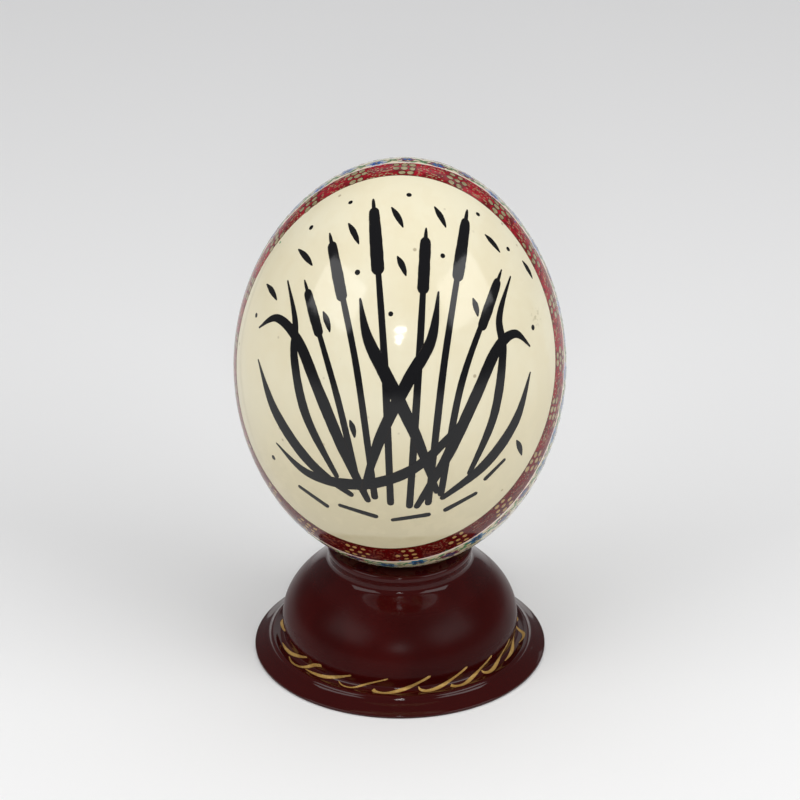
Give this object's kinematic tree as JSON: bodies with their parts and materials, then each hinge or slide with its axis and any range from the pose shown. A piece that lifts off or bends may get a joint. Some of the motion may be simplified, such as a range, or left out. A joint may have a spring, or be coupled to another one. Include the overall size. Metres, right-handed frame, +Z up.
{
  "type": "decorated ostrich egg on a stand",
  "caption": "Painted ostrich egg resting upright in a turned, lacquered stand with a domed body, a short collar and a flat spreading foot.",
  "frame": {"origin": "on the table, under the middle of the stand's foot", "axes": "+Z up along the stand's and the egg's long axis; the painted front of the egg looks along -Y, +X to the viewer's right"},
  "size_m": [0.11, 0.11, 0.1779],
  "materials": {
    "eggshell": "ivory eggshell ground under clear gloss varnish, with painted ornament",
    "lacquered_wood": "deep maroon high-gloss lacquer",
    "black_paint": "black brush paint under clear varnish",
    "crimson_paint": "crimson paint under clear varnish",
    "floral_paint": "blue, green and olive flower paint under clear varnish",
    "gold_paint": "dull gold brush paint"
  },
  "bodies": {
    "root": {"egg": "eggshell", "stand": "lacquered_wood"}
  },
  "joints": []
}
